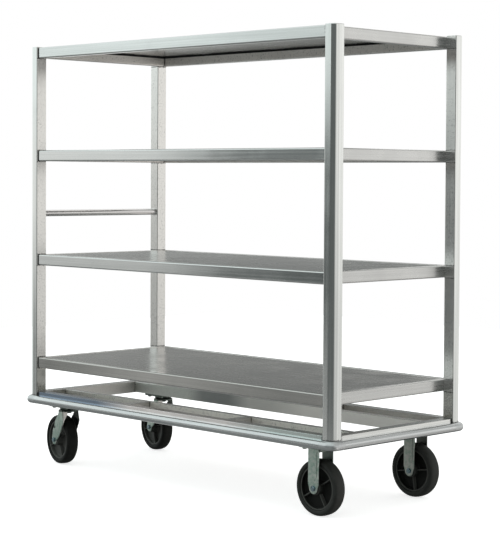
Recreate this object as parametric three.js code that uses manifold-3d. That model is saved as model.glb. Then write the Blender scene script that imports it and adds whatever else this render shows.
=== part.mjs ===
// Banquet cart: four open shelves between four corner posts, on a bumpered base with casters.
// Millimetres. X runs along the cart (the fixed casters are at +X, the swivel casters and the
// push handle at -X), Y runs across it (the front long side is -Y), Z is up, the floor is zero.
import * as THREE from "three";
import { mergeVertices } from "three/addons/utils/BufferGeometryUtils.js";
import Module from "manifold-3d";

const wasm = await Module();
wasm.setup();

// Whole frame, measured over the outer faces of the posts
const frame_length = 1733.8;
const frame_width = 704.2;
const frame_height = 1732.4;

// Corner posts: square tube, the outer corner well rounded
const post_size = 48;
const post_outer_radius = 24;
const post_edge_radius = 3;
const post_wall = 2;

// Shelves: a rim of four tubes between the posts of the two ends, with the deck sheet set just
// below its top; the long rails stand back from the faces of the posts by the recess
const shelf_heights = { bottom: 449.1, lower: 875.8, upper: 1306.1 };
const top_shelf_drop = 2.8;
const shelf_rail_height = 45.2;
const shelf_rail_width = 25.4;
const shelf_rail_radius = 5.5;
const shelf_rail_wall = 1.6;
const rail_recess = 6.3;
const deck_thickness = 1.6;
const deck_drop = 1.6;

// Base: side rails, end rails, two lengthwise inner tubes and short stubs
const base_rail_height = 47.9;
const base_rail_radius = 3;
const base_rail_wall = 2.5;
const inner_tube_width = 25.4;
const inner_tube_height = 44.5;
const inner_tube_inset = 149.2;
const inner_tube_lift = 1.5;
const stub_width = 38;
const stub_offset = 292.4;

// Bumper: half-round section that runs round the base, under the feet of the posts
const bumper_overhang = 18.5;
const bumper_height = 32.5;
const bumper_corner_radius = 40;
const bumper_mid_band = 2.4;

// Push handle: a round bar between the two posts of the swivel end, its height a share of the
// open space between the lower and the upper shelf
const handle_diameter = 26.7;
const handle_rise_share = 0.4396;
const handle_collar_diameter = 31;
const handle_collar_length = 7;

// Casters
const wheel_radius = 101.6;
const wheel_width = 50.8;
const caster_height = 256;
const caster_inset_x = 142;
const caster_inset_y = 92.8;
const swivel_trail = 55;
const swivel_yaw_degrees = -10.5;
const caster_plate_length = 110;
const caster_plate_width = 122;
const caster_plate_thickness = 10;
const caster_plate_radius = 8;
const caster_bolt_spacing_x = 76;
const caster_bolt_spacing_y = 88;
const caster_bolt_head_radius = 9;
const caster_bolt_head_height = 6.5;
const raceway_radius = 36;
const raceway_lip_radius = 31;
const raceway_height = 13.5;
const kingpin_radius = 8;
const kingpin_nut_radius = 13;
const kingpin_nut_height = 8;

// Forks: a crown and two legs pressed from thick sheet
const leg_thickness = 5;
const leg_tip_radius = 20;
const leg_outer_half_width = 38.5;
const swivel_crown_thickness = 7;
const rigid_crown_thickness = 14;
const rigid_leg_width = 52;
const rigid_leg_taper_rise = 16;
const leg_pad_thickness = 1.2;
const leg_pad_margin = 9;
const leg_pad_rise = 27;
const leg_hole_radius = 5.5;
const leg_hole_rise = 53;
const leg_hole_shift = 4;

// Outline of a swivel leg, as distances in front of the kingpin and rises above the axle
const swivel_neck_half = 16;
const swivel_neck_drop = 8;
const swivel_back_knee = { x: -42, rise: 87.5 };
const swivel_back_low = { x: -67, rise: 38.5 };
const swivel_front_low = { x: -20, rise: 10.5 };
const swivel_front_mid = { x: -3, rise: 31.5 };
const swivel_front_knee = { x: 27, rise: 84.5 };

// Axles: a bolt through both legs with a head and a nut
const axle_radius = 6.35;
const axle_head_radius = 11;
const axle_head_length = 6.5;

// Wheels: one moulding with a full round tread, a raised rim ring, ribs, a thin web and a hub
const tread_depth = 13.6;
const tread_power = 2 / 3;
const rim_outer_radius = 80;
const rim_inner_radius = 73.5;
const rim_width = 42;
const rim_rise = 1.2;
const web_thickness = 9;
const hub_radius = 24;
const hub_end_clearance = 0.6;
const rib_thickness = 4;
const rib_setback = 2;
const rib_count = 4;
const rib_turn_degrees = {
  front_right: 31,
  rear_right: 8,
  front_left: -63,
  rear_left: -76,
};

// Clearances
const seam_gap = 0.1;
const running_gap = 0.3;
const bore_clearance = 0.05;
const cut_overrun = 5;
const merge_distance = 0.001;

// How finely curves are divided
const edge_segments = 2;
const post_arc_segments = 8;
const bumper_profile_segments = 6;
const round_segments = 28;
const wheel_segments = 36;
const tread_segments = 5;
const flank_segments = 3;
const bolt_sides = 6;

// Places that follow from the sizes
const half_length = frame_length / 2;
const half_width = frame_width / 2;
const post_inner_x = half_length - post_size;
const post_inner_y = half_width - post_size;
const base_bottom = caster_height;
const bumper_top = base_bottom + bumper_height;
const post_foot = bumper_top + seam_gap;
const leg_inner_half_width = leg_outer_half_width - leg_thickness;
const caster_offset_x = half_length - caster_inset_x;
const caster_offset_y = half_width - caster_inset_y;
const shelf_tops = { ...shelf_heights, top: frame_height - top_shelf_drop };
const handle_space = shelf_heights.upper - shelf_rail_height - shelf_heights.lower;
const handle_height = shelf_heights.lower + handle_space * handle_rise_share;
const full_turn = Math.PI * 2;

// Materials, one to each mesh
const finishes = {
  post: { color: 0xb9bdbb, roughness: 0.32, metalness: 0.9 },
  rail: { color: 0xbfc2c2, roughness: 0.3, metalness: 0.9 },
  deck: { color: 0xa4a8a9, roughness: 0.22, metalness: 0.92 },
  base: { color: 0xa9aeb0, roughness: 0.36, metalness: 0.88 },
  bumper: { color: 0xb7bfc3, roughness: 0.34, metalness: 0.8 },
  handle: { color: 0xc2c3c5, roughness: 0.2, metalness: 0.95 },
  caster: { color: 0x9aa39b, roughness: 0.4, metalness: 0.85 },
  axle: { color: 0x6f777a, roughness: 0.4, metalness: 0.85 },
  wheel: { color: 0x2b2d2a, roughness: 0.62, metalness: 0.0 },
};

// Turns that stand a section drawn in its own plane onto an axis of the cart
const along_x = new THREE.Matrix4().makeBasis(
  new THREE.Vector3(0, 1, 0),
  new THREE.Vector3(0, 0, 1),
  new THREE.Vector3(1, 0, 0),
);
const along_y = new THREE.Matrix4().makeBasis(
  new THREE.Vector3(1, 0, 0),
  new THREE.Vector3(0, 0, 1),
  new THREE.Vector3(0, -1, 0),
);

// A geometry as a closed solid that can be added and cut
function solid(geometry) {
  geometry.deleteAttribute("normal");
  geometry.deleteAttribute("uv");
  const merged = mergeVertices(geometry, merge_distance);
  return new wasm.Manifold(
    new wasm.Mesh({
      numProp: 3,
      vertProperties: merged.attributes.position.array,
      triVerts: new Uint32Array(merged.index.array),
    }),
  );
}

// A solid back to a geometry with flat-shaded faces
function geometryOf(body) {
  const mesh = body.getMesh();
  const geometry = new THREE.BufferGeometry();
  geometry.setAttribute("position", new THREE.BufferAttribute(mesh.vertProperties, 3));
  geometry.setIndex(new THREE.BufferAttribute(mesh.triVerts, 1));
  const flat = geometry.toNonIndexed();
  flat.computeVertexNormals();
  return flat;
}

// Adds one named mesh with its own material
function place(group, name, geometry, finish) {
  const mesh = new THREE.Mesh(geometry, new THREE.MeshStandardMaterial(finishes[finish]));
  mesh.name = name;
  group.add(mesh);
  return mesh;
}

// An outline of a rectangle about zero with its own radius at each corner,
// in the order right top, left top, left bottom, right bottom
function roundedOutline(outline, half_x, half_y, radii) {
  const corners = [
    [1, 1],
    [-1, 1],
    [-1, -1],
    [1, -1],
  ];
  corners.forEach(([side_x, side_y], i) => {
    const start = (i * Math.PI) / 2;
    const centre_x = side_x * (half_x - radii[i]);
    const centre_y = side_y * (half_y - radii[i]);
    outline.absarc(centre_x, centre_y, radii[i], start, start + Math.PI / 2, false);
  });
  outline.closePath();
  return outline;
}

// A length of extrusion about zero, turned onto an axis
function extruded(shape, length, segments, turn) {
  const options = { depth: length, bevelEnabled: false, curveSegments: segments };
  const geometry = new THREE.ExtrudeGeometry(shape, options);
  geometry.translate(0, 0, -length / 2);
  if (turn) geometry.applyMatrix4(turn);
  return geometry;
}

// Box tube with rounded edges, open at both ends
function boxTube(length, width, height, radius, wall, turn) {
  const shape = roundedOutline(new THREE.Shape(), width / 2, height / 2, Array(4).fill(radius));
  const inner = Array(4).fill(Math.max(radius - wall, wall / 2));
  const hollow = roundedOutline(new THREE.Path(), width / 2 - wall, height / 2 - wall, inner);
  shape.holes.push(hollow);
  return extruded(shape, length, edge_segments, turn);
}

// A box between two corners
function boxBetween(low, high) {
  const size = high.map((value, i) => value - low[i]);
  const geometry = new THREE.BoxGeometry(...size);
  return geometry.translate(...low.map((value, i) => value + size[i] / 2));
}

// A round bar about zero along Z, from the low to the high end
function roundBar(radius, low, high, segments) {
  const geometry = new THREE.CylinderGeometry(radius, radius, high - low, segments);
  geometry.rotateX(Math.PI / 2);
  return geometry.translate(0, 0, (low + high) / 2);
}

// One corner post: tube closed by a top plate, open at the foot
function cornerPost(side_x, side_y) {
  const small = post_edge_radius;
  const signs = [
    [1, 1],
    [-1, 1],
    [-1, -1],
    [1, -1],
  ];
  const is_outer = ([x, y]) => x === side_x && y === side_y;
  const outer_radii = signs.map((sign) => (is_outer(sign) ? post_outer_radius : small));
  const inner_radii = outer_radii.map((radius) => Math.max(radius - post_wall, post_wall / 2));
  const half = post_size / 2;
  const height = frame_height - post_foot;
  const outer_shape = roundedOutline(new THREE.Shape(), half, half, outer_radii);
  const outer = solid(extruded(outer_shape, height, post_arc_segments));
  const inner_half = half - post_wall;
  const inner_shape = roundedOutline(new THREE.Shape(), inner_half, inner_half, inner_radii);
  const inner_length = height - post_wall + cut_overrun;
  const inner = solid(extruded(inner_shape, inner_length, post_arc_segments));
  const drop = (cut_overrun + post_wall) / 2;
  const tube = outer.subtract(inner.translate(0, 0, -drop));
  const geometry = geometryOf(tube);
  const x = side_x * (half_length - half);
  const y = side_y * (half_width - half);
  return geometry.translate(x, y, post_foot + height / 2);
}

// The rim of a shelf: front and rear tubes along X from post to post, and end tubes along Y
// between them, level with the inner faces of the posts
function shelfRails(group, level, top) {
  const centre_z = top - shelf_rail_height / 2;
  const sizes = [shelf_rail_width, shelf_rail_height, shelf_rail_radius, shelf_rail_wall];
  const long_rail = post_inner_x * 2 - seam_gap * 2;
  const long_y = half_width - rail_recess - shelf_rail_width / 2;
  const end_rail = (long_y - shelf_rail_width / 2 - seam_gap) * 2;
  const end_x = post_inner_x - seam_gap - shelf_rail_width / 2;
  for (const [side, sign] of [["front", -1], ["rear", 1]]) {
    const geometry = boxTube(long_rail, ...sizes, along_x);
    geometry.translate(0, sign * long_y, centre_z);
    place(group, `shelf_${level}_rail_${side}`, geometry, "rail");
  }
  for (const [side, sign] of [["left", -1], ["right", 1]]) {
    const geometry = boxTube(end_rail, ...sizes, along_y);
    geometry.translate(sign * end_x, 0, centre_z);
    place(group, `shelf_${level}_rail_${side}`, geometry, "rail");
  }
}

// The deck sheet fills the rim
function shelfDeck(top) {
  const half_x = post_inner_x - shelf_rail_width - seam_gap * 2;
  const half_y = half_width - rail_recess - shelf_rail_width - seam_gap;
  const low = top - deck_drop - deck_thickness;
  return boxBetween([-half_x, -half_y, low], [half_x, half_y, top - deck_drop]);
}

// Base rails, from the recessed face inward to the line of the posts' inner faces
function baseRails(group) {
  const width = post_size - rail_recess;
  const sizes = [width, base_rail_height, base_rail_radius, base_rail_wall];
  const reach = rail_recess + width / 2;
  const centre_z = base_bottom + base_rail_height / 2;
  const long_rail = post_inner_x * 2 - seam_gap * 2;
  const end_rail = post_inner_y * 2 - seam_gap * 2;
  for (const [side, sign] of [["front", -1], ["rear", 1]]) {
    const geometry = boxTube(long_rail, ...sizes, along_x);
    geometry.translate(0, sign * (half_width - reach), centre_z);
    place(group, `base_rail_${side}`, geometry, "base");
  }
  for (const [side, sign] of [["left", -1], ["right", 1]]) {
    const geometry = boxTube(end_rail, ...sizes, along_y);
    geometry.translate(sign * (half_length - reach), 0, centre_z);
    place(group, `base_rail_${side}`, geometry, "base");
  }
}

// Inner lengthwise tubes, which carry the casters, and the stubs out to the side rails
function baseInner(group) {
  const centre_z = base_bottom + inner_tube_lift + inner_tube_height / 2;
  const tube_y = half_width - inner_tube_inset - inner_tube_width / 2;
  const tube_sizes = [inner_tube_width, inner_tube_height, base_rail_radius, base_rail_wall];
  const tube_length = post_inner_x * 2 - seam_gap * 2;
  const stub_length = inner_tube_inset - post_size - seam_gap * 2;
  const stub_y = half_width - (post_size + inner_tube_inset) / 2;
  const stub_sizes = [stub_width, inner_tube_height, base_rail_radius, base_rail_wall];
  for (const [side, sign] of [["front", -1], ["rear", 1]]) {
    const tube = boxTube(tube_length, ...tube_sizes, along_x);
    tube.translate(0, sign * tube_y, centre_z);
    place(group, `base_inner_tube_${side}`, tube, "base");
    for (const [end, end_sign] of [["left", -1], ["right", 1]]) {
      const stub = boxTube(stub_length, ...stub_sizes, along_y);
      stub.translate(end_sign * stub_offset, sign * stub_y, centre_z);
      place(group, `base_stub_${side}_${end}`, stub, "base");
    }
  }
}

// The half-round slab whose edge gives the bumper its section
function bumperSlab() {
  const bulge = (bumper_height - bumper_mid_band) / 2;
  const flat_radius = bumper_corner_radius - bulge;
  const half_x = half_length + bumper_overhang - bulge;
  const half_y = half_width + bumper_overhang - bulge;
  const radii = Array(4).fill(flat_radius);
  const shape = roundedOutline(new THREE.Shape(), half_x, half_y, radii);
  const geometry = new THREE.ExtrudeGeometry(shape, {
    depth: bumper_mid_band,
    bevelEnabled: true,
    bevelThickness: bulge,
    bevelSize: bulge,
    bevelSegments: bumper_profile_segments,
    curveSegments: post_arc_segments,
  });
  return solid(geometry.translate(0, 0, base_bottom + bulge));
}

// Bumper runs along the rails, and the corner blocks that carry the posts
function bumper(group) {
  const slab = bumperSlab();
  const low_z = base_bottom - cut_overrun;
  const high_z = bumper_top + cut_overrun;
  const face_x = half_length - rail_recess + seam_gap;
  const face_y = half_width - rail_recess + seam_gap;
  const end_x = post_inner_x - seam_gap;
  const end_y = post_inner_y - seam_gap;
  const past_x = half_length + bumper_overhang + cut_overrun;
  const past_y = half_width + bumper_overhang + cut_overrun;
  const piece = (name, low_x, high_x, low_y, high_y) => {
    const block = solid(boxBetween([low_x, low_y, low_z], [high_x, high_y, high_z]));
    place(group, name, geometryOf(slab.intersect(block)), "bumper");
  };
  piece("bumper_front", -end_x, end_x, -past_y, -face_y);
  piece("bumper_rear", -end_x, end_x, face_y, past_y);
  piece("bumper_left", -past_x, -face_x, -end_y, end_y);
  piece("bumper_right", face_x, past_x, -end_y, end_y);
  piece("bumper_corner_front_left", -past_x, -post_inner_x, -past_y, -post_inner_y);
  piece("bumper_corner_front_right", post_inner_x, past_x, -past_y, -post_inner_y);
  piece("bumper_corner_rear_left", -past_x, -post_inner_x, post_inner_y, past_y);
  piece("bumper_corner_rear_right", post_inner_x, past_x, post_inner_y, past_y);
}

// Push handle with a small collar at the rear post
function handleBar() {
  const half = post_inner_y - seam_gap;
  const bar = solid(roundBar(handle_diameter / 2, -half, half, round_segments));
  const collar_low = half - handle_collar_length;
  const collar = roundBar(handle_collar_diameter / 2, collar_low, half, round_segments);
  const geometry = geometryOf(bar.add(solid(collar)));
  geometry.rotateX(-Math.PI / 2);
  return geometry.translate(-(half_length - post_size / 2), 0, handle_height);
}

// Caster top plate with the heads of its four bolts below it
function topPlate() {
  const radii = Array(4).fill(caster_plate_radius);
  const half_x = caster_plate_length / 2;
  const half_y = caster_plate_width / 2;
  const shape = roundedOutline(new THREE.Shape(), half_x, half_y, radii);
  const sheet = extruded(shape, caster_plate_thickness - seam_gap, edge_segments);
  const top = caster_height - seam_gap;
  const bottom = caster_height - caster_plate_thickness;
  sheet.translate(0, 0, (top + bottom) / 2);
  let body = solid(sheet);
  for (const side_x of [-1, 1])
    for (const side_y of [-1, 1]) {
      const low = bottom - caster_bolt_head_height;
      const high = bottom + caster_plate_thickness / 2;
      const bolt = roundBar(caster_bolt_head_radius, low, high, bolt_sides);
      const x = (side_x * caster_bolt_spacing_x) / 2;
      const y = (side_y * caster_bolt_spacing_y) / 2;
      body = body.add(solid(bolt.translate(x, y, 0)));
    }
  return body;
}

// Heights of a swivel caster's raceway and crown
const raceway_top = caster_height - caster_plate_thickness;
const raceway_bottom = raceway_top - raceway_height;
const swivel_crown_top = raceway_bottom - running_gap;
const swivel_crown_bottom = swivel_crown_top - swivel_crown_thickness;

// Swivel plate: top plate, raceway below it, and the kingpin through the crown with its nut
function swivelPlate() {
  const shift = caster_plate_thickness / 2;
  const points = [
    [0, raceway_bottom],
    [raceway_lip_radius, raceway_bottom],
    [raceway_radius, raceway_bottom + raceway_height / 3],
    [raceway_radius, raceway_top - raceway_height / 3],
    [raceway_lip_radius, raceway_top],
    [raceway_lip_radius, raceway_top + shift],
    [0, raceway_top + shift],
  ].map(([x, y]) => new THREE.Vector2(x, y));
  const race = new THREE.LatheGeometry(points, round_segments).rotateX(Math.PI / 2);
  const nut_top = swivel_crown_bottom - running_gap;
  const nut_bottom = nut_top - kingpin_nut_height;
  const pin_top = raceway_bottom + raceway_height / 2;
  const pin_bottom = nut_top - kingpin_nut_height / 2;
  const pin = roundBar(kingpin_radius, pin_bottom, pin_top, round_segments);
  const nut = roundBar(kingpin_nut_radius, nut_bottom, nut_top, bolt_sides);
  return topPlate().add(solid(race)).add(solid(pin)).add(solid(nut));
}

// One leg of a fork drawn in the X-Z plane: down the back edge, round the tip below the axle,
// up the front edge, with its axle hole and any more holes
function legSolid(back_edge, front_edge, tip_x, side, holes) {
  const shape = new THREE.Shape();
  shape.moveTo(...back_edge[0]);
  back_edge.slice(1).forEach((point) => shape.lineTo(...point));
  shape.absarc(tip_x, wheel_radius, leg_tip_radius, Math.PI, full_turn, false);
  front_edge.forEach((point) => shape.lineTo(...point));
  shape.closePath();
  for (const [x, z, radius] of holes) {
    const hole = new THREE.Path();
    hole.absarc(x, z, radius, 0, full_turn, true);
    shape.holes.push(hole);
  }
  const leg = extruded(shape, leg_thickness, round_segments / 2, along_y);
  return solid(leg.translate(0, side * (leg_outer_half_width - leg_thickness / 2), 0));
}

// Fork of a fixed caster: top plate, crown and two straight legs with a raised pad
function rigidFork() {
  const half = rigid_leg_width / 2;
  const crown_top = caster_height - caster_plate_thickness / 2;
  const crown_bottom = caster_height - caster_plate_thickness - rigid_crown_thickness;
  const taper_z = wheel_radius + rigid_leg_taper_rise;
  const hole = [0, wheel_radius, axle_radius + bore_clearance];
  const back_edge = [
    [-half, crown_top],
    [-half, taper_z],
  ];
  const front_edge = [
    [half, taper_z],
    [half, crown_top],
  ];
  const crown_low = [-half, -leg_outer_half_width, crown_bottom];
  let body = topPlate().add(
    solid(boxBetween(crown_low, [half, leg_outer_half_width, crown_top])),
  );
  const pad_half = half - leg_pad_margin;
  const pad_low = wheel_radius + leg_pad_rise;
  const pad = new THREE.Shape();
  pad.moveTo(-pad_half, crown_bottom);
  pad.lineTo(-pad_half, pad_low + pad_half);
  pad.lineTo(-pad_half / 3, pad_low);
  pad.lineTo(pad_half / 3, pad_low);
  pad.lineTo(pad_half, pad_low + pad_half);
  pad.lineTo(pad_half, crown_bottom);
  pad.closePath();
  for (const side of [-1, 1]) {
    body = body.add(legSolid(back_edge, front_edge, 0, side, [hole]));
    const thickness = leg_pad_thickness + leg_thickness / 2;
    const raised = extruded(pad, thickness, edge_segments, along_y);
    const pad_y = side * (leg_outer_half_width - leg_thickness / 2 + thickness / 2);
    body = body.add(solid(raised.translate(0, pad_y, 0)));
  }
  return body;
}

// Fork of a swivel caster: crown with the kingpin hole and two legs raked back to the axle
function swivelFork() {
  const tip_x = -swivel_trail;
  const neck_z = swivel_crown_bottom - swivel_neck_drop;
  const hole = [tip_x, wheel_radius, axle_radius + bore_clearance];
  const side_hole = [tip_x + leg_hole_shift, wheel_radius + leg_hole_rise, leg_hole_radius];
  const corner = ({ x, rise }) => [x, wheel_radius + rise];
  const back_edge = [
    [-swivel_neck_half, swivel_crown_top],
    [-swivel_neck_half, neck_z],
    corner(swivel_back_knee),
    corner(swivel_back_low),
  ];
  const front_edge = [
    corner(swivel_front_low),
    corner(swivel_front_mid),
    corner(swivel_front_knee),
    [swivel_neck_half, neck_z],
    [swivel_neck_half, swivel_crown_top],
  ];
  let body = solid(
    roundBar(leg_outer_half_width, swivel_crown_bottom, swivel_crown_top, round_segments),
  );
  const pin_low = swivel_crown_bottom - cut_overrun;
  const pin_high = swivel_crown_top + cut_overrun;
  const pin = roundBar(kingpin_radius + running_gap, pin_low, pin_high, round_segments);
  body = body.subtract(solid(pin));
  const holes = [hole, side_hole];
  for (const side of [-1, 1])
    body = body.add(legSolid(back_edge, front_edge, tip_x, side, holes));
  return body;
}

// Axle bolt through both legs, with a head on one side and a nut on the other
function axleBolt(centre_x) {
  const outer = leg_outer_half_width + seam_gap;
  const end = outer + axle_head_length;
  const bar = solid(roundBar(axle_radius, -outer - axle_head_length / 2, end, round_segments));
  const head = solid(roundBar(axle_head_radius, outer, end, bolt_sides));
  const nut = solid(roundBar(axle_head_radius, -end, -outer, bolt_sides));
  const geometry = geometryOf(bar.add(head).add(nut));
  return geometry.rotateX(Math.PI / 2).translate(centre_x, 0, wheel_radius);
}

// Wheel turned about its axle, with ribs across the pockets on both sides
function wheel(centre_x, rib_turn) {
  const half = wheel_width / 2;
  const rim = rim_width / 2;
  const web = web_thickness / 2;
  const hub = leg_inner_half_width - hub_end_clearance;
  const bore = (axle_radius + bore_clearance) / Math.cos(Math.PI / wheel_segments);
  const shoulder = wheel_radius - tread_depth;
  const side = [
    [bore, hub],
    [hub_radius, hub],
    [hub_radius, web],
    [rim_inner_radius, web],
    [rim_inner_radius, rim - rim_rise],
    [(rim_inner_radius + rim_outer_radius) / 2, rim],
  ];
  const flank_low = rim - rim_rise;
  for (let i = 0; i < flank_segments; i += 1) {
    const angle = ((Math.PI / 2) * i) / flank_segments;
    const r = shoulder - (shoulder - rim_outer_radius) * Math.cos(angle);
    side.push([r, flank_low + (half - flank_low) * Math.sin(angle)]);
  }
  const tread = [];
  for (let i = 0; i < tread_segments; i += 1) {
    const angle = ((Math.PI / 2) * i) / tread_segments;
    const r = shoulder + tread_depth * Math.sin(angle) ** tread_power;
    tread.push([r, half * Math.cos(angle) ** tread_power]);
  }
  const upper = [...side, ...tread];
  const crown = [wheel_radius, 0];
  const lower = [...upper].reverse().map(([r, a]) => [r, -a]);
  const outline = [...upper, crown, ...lower, upper[0]];
  const points = outline.map(([r, a]) => new THREE.Vector2(r, a)).reverse();
  let body = solid(new THREE.LatheGeometry(points, wheel_segments));
  const rib_half = rim - rib_setback;
  const rib_low = hub_radius - rib_thickness;
  const rib_high = rim_inner_radius + rib_thickness / 2;
  for (let i = 0; i < rib_count; i += 1) {
    const rib = boxBetween(
      [rib_low, -rib_half, -rib_thickness / 2],
      [rib_high, rib_half, rib_thickness / 2],
    );
    const angle = (full_turn * i) / rib_count + THREE.MathUtils.degToRad(rib_turn);
    rib.rotateY(-angle);
    body = body.add(solid(rib));
  }
  return geometryOf(body).translate(centre_x, 0, wheel_radius);
}

// Casters: swivel ones at the handle end, fixed ones at the other end
function casters(group) {
  for (const [side, sign] of [["front", -1], ["rear", 1]]) {
    const swivel = `caster_${side}_left`;
    const centre_y = sign * caster_offset_y;
    const plate = geometryOf(swivelPlate()).translate(-caster_offset_x, centre_y, 0);
    place(group, `${swivel}_plate`, plate, "caster");
    const turned = new THREE.Group();
    turned.position.set(-caster_offset_x, centre_y, 0);
    turned.rotation.z = THREE.MathUtils.degToRad(swivel_yaw_degrees);
    group.add(turned);
    place(turned, `${swivel}_fork`, geometryOf(swivelFork()), "caster");
    place(turned, `${swivel}_axle`, axleBolt(-swivel_trail), "axle");
    const swivel_ribs = rib_turn_degrees[`${side}_left`];
    place(turned, `${swivel}_wheel`, wheel(-swivel_trail, swivel_ribs), "wheel");

    const fixed = `caster_${side}_right`;
    const still = new THREE.Group();
    still.position.set(caster_offset_x, centre_y, 0);
    group.add(still);
    place(still, `${fixed}_fork`, geometryOf(rigidFork()), "caster");
    place(still, `${fixed}_axle`, axleBolt(0), "axle");
    place(still, `${fixed}_wheel`, wheel(0, rib_turn_degrees[`${side}_right`]), "wheel");
  }
}

const cart = new THREE.Group();
cart.name = "banquet_cart";
for (const [side, side_y] of [["front", -1], ["rear", 1]])
  for (const [end, side_x] of [["left", -1], ["right", 1]])
    place(cart, `post_${side}_${end}`, cornerPost(side_x, side_y), "post");
for (const [level, top] of Object.entries(shelf_tops)) {
  shelfRails(cart, level, top);
  place(cart, `shelf_${level}_deck`, shelfDeck(top), "deck");
}
baseRails(cart);
baseInner(cart);
bumper(cart);
place(cart, "handle_bar", handleBar(), "handle");
casters(cart);

export default cart;
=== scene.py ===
import math

import bmesh
import bpy
from mathutils import Matrix, Vector


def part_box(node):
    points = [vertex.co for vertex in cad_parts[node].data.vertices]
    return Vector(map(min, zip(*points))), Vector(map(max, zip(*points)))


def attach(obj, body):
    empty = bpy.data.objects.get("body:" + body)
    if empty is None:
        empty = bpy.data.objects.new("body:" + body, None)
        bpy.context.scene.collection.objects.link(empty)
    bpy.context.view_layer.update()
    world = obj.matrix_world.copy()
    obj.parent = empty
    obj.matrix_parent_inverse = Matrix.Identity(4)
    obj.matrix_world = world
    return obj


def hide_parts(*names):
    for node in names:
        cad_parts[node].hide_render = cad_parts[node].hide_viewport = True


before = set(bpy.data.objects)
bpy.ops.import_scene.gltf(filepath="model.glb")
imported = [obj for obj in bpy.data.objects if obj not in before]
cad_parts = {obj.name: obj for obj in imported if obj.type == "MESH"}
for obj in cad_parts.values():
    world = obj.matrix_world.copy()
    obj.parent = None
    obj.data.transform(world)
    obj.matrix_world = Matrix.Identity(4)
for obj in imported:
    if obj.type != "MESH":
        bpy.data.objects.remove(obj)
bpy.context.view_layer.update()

# Base rails, inner tubes and stubs.
# Mill-finish aluminium box tube; the long ones run along X, the end rails and stubs across.
# They are welded to one another and to the posts; weld soot and painted shade of the joints darken and
# dull their ends.
MM = 0.001
TINY = 0.1 * MM
FRAME_BODY = "frame"
SHARP_ANGLE = math.radians(38)
FACE_WEIGHT = 80


def finish_piece(bm, node, material, body):
    """Turns a bmesh into the finished piece that stands for one CAD node.

    The mesh lies where the piece is, in metres, and its object stays at the origin.
    """
    bmesh.ops.recalc_face_normals(bm, faces=bm.faces)
    mesh = bpy.data.meshes.new(node)
    bm.to_mesh(mesh)
    bm.free()
    mesh.materials.append(material)
    mesh.shade_smooth()
    mesh.set_sharp_from_angle(angle=SHARP_ANGLE)
    piece = bpy.data.objects.new("look_" + node, mesh)
    bpy.context.scene.collection.objects.link(piece)
    even = piece.modifiers.new("even_normals", "WEIGHTED_NORMAL")
    even.keep_sharp = True
    even.weight = FACE_WEIGHT
    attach(piece, body)
    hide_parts(node)


CORNER_SIGNS = ((1, 1), (-1, 1), (-1, -1), (1, -1))


def rounded(half_u, half_v, radii, steps):
    """Points round a rectangle about zero, one radius to each corner from the ++ corner on."""
    points = []
    for i, (su, sv) in enumerate(CORNER_SIGNS):
        middle_u = su * (half_u - radii[i])
        middle_v = sv * (half_v - radii[i])
        for k in range(steps + 1):
            a = math.pi / 2 * (i + k / steps)
            points.append((middle_u + radii[i] * math.cos(a), middle_v + radii[i] * math.sin(a)))
    return points


AXES = {
    "X": lambda u, v, w: Vector((w, u, v)),
    "Y": lambda u, v, w: Vector((u, w, v)),
    "Z": lambda u, v, w: Vector((u, v, w)),
}


def loft(bm, rings, axis, centre, paint=None):
    """Bridges rings of (points, place along the axis), closes both ends and paints marks."""
    loops = []
    for points, w in rings:
        ring = []
        for u, v in points:
            vert = bm.verts.new(AXES[axis](u, v, w) + centre)
            for layer, amount in paint(u, v, w) if paint else ():
                vert[layer] = min(max(amount, 0.0), 1.0)
            ring.append(vert)
        loops.append([bm.edges.new((ring[i - 1], ring[i])) for i in range(len(ring))])
    for low_loop, high_loop in zip(loops, loops[1:]):
        bmesh.ops.bridge_loops(bm, edges=low_loop + high_loop)
    bmesh.ops.edgeloop_fill(bm, edges=loops[0] + loops[-1])


TUBE_STEPS = 7
SOOT_AND_SHADE_REACH = 10 * MM
GROOVE_TOP = 2.4 * MM
GROOVE_FOOT = 10.5 * MM
GROOVE_FADE = 0.5 * MM


def tube(node, axis, edge, material, inward, groove=False, reach=SOOT_AND_SHADE_REACH):
    """A straight rounded tube that fills its CAD node's box.

    Its ends are marked for weld soot and painted joint shade, the side turned inward for the
    material's inside tone of painted light and shade, and where it has a groove, the top of that
    side for the painted shadow of the open gap along the deck.
    """
    low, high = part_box(node)
    size = high - low
    across = {"X": (size.y, size.z, size.x), "Y": (size.x, size.z, size.y)}
    half_u, half_v, half_length = (length / 2 for length in across[axis])
    bm = bmesh.new()
    soot_and_shade = bm.verts.layers.float.new("soot_and_shade")
    inner = bm.verts.layers.float.new("inner")
    gap_shade = bm.verts.layers.float.new("gap_shade")
    outline = rounded(half_u, half_v, [edge] * 4, TUBE_STEPS)
    foot = half_v - GROOVE_FOOT
    if groove and inward < 0:
        third_corner = 2 * (TUBE_STEPS + 1)
        outline[third_corner:third_corner] = [(-half_u, foot), (-half_u, foot - GROOVE_FADE)]
    if groove and inward > 0:
        outline += [(half_u, foot - GROOVE_FADE), (half_u, foot)]

    def paint(u, v, w):
        turned_in = (u * inward - half_u + edge) / edge
        # The band of painted shadow in the open gap between deck and rim.
        in_gap_shade = groove and turned_in > 0.1 and foot - TINY < v < half_v - GROOVE_TOP
        return (
            (soot_and_shade, 1 - (half_length - abs(w)) / reach),
            (inner, turned_in),
            (gap_shade, 1.0 if in_gap_shade else 0.0),
        )

    places = (-half_length, -half_length + reach, half_length - reach, half_length)
    loft(bm, [(outline, w) for w in places], axis, (low + high) / 2, paint)
    finish_piece(bm, node, material, FRAME_BODY)


def new_material(name):
    """An empty node material and its shader."""
    material = bpy.data.materials.new(name)
    material.use_nodes = True
    return material, material.node_tree, material.node_tree.nodes["Principled BSDF"]


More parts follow.
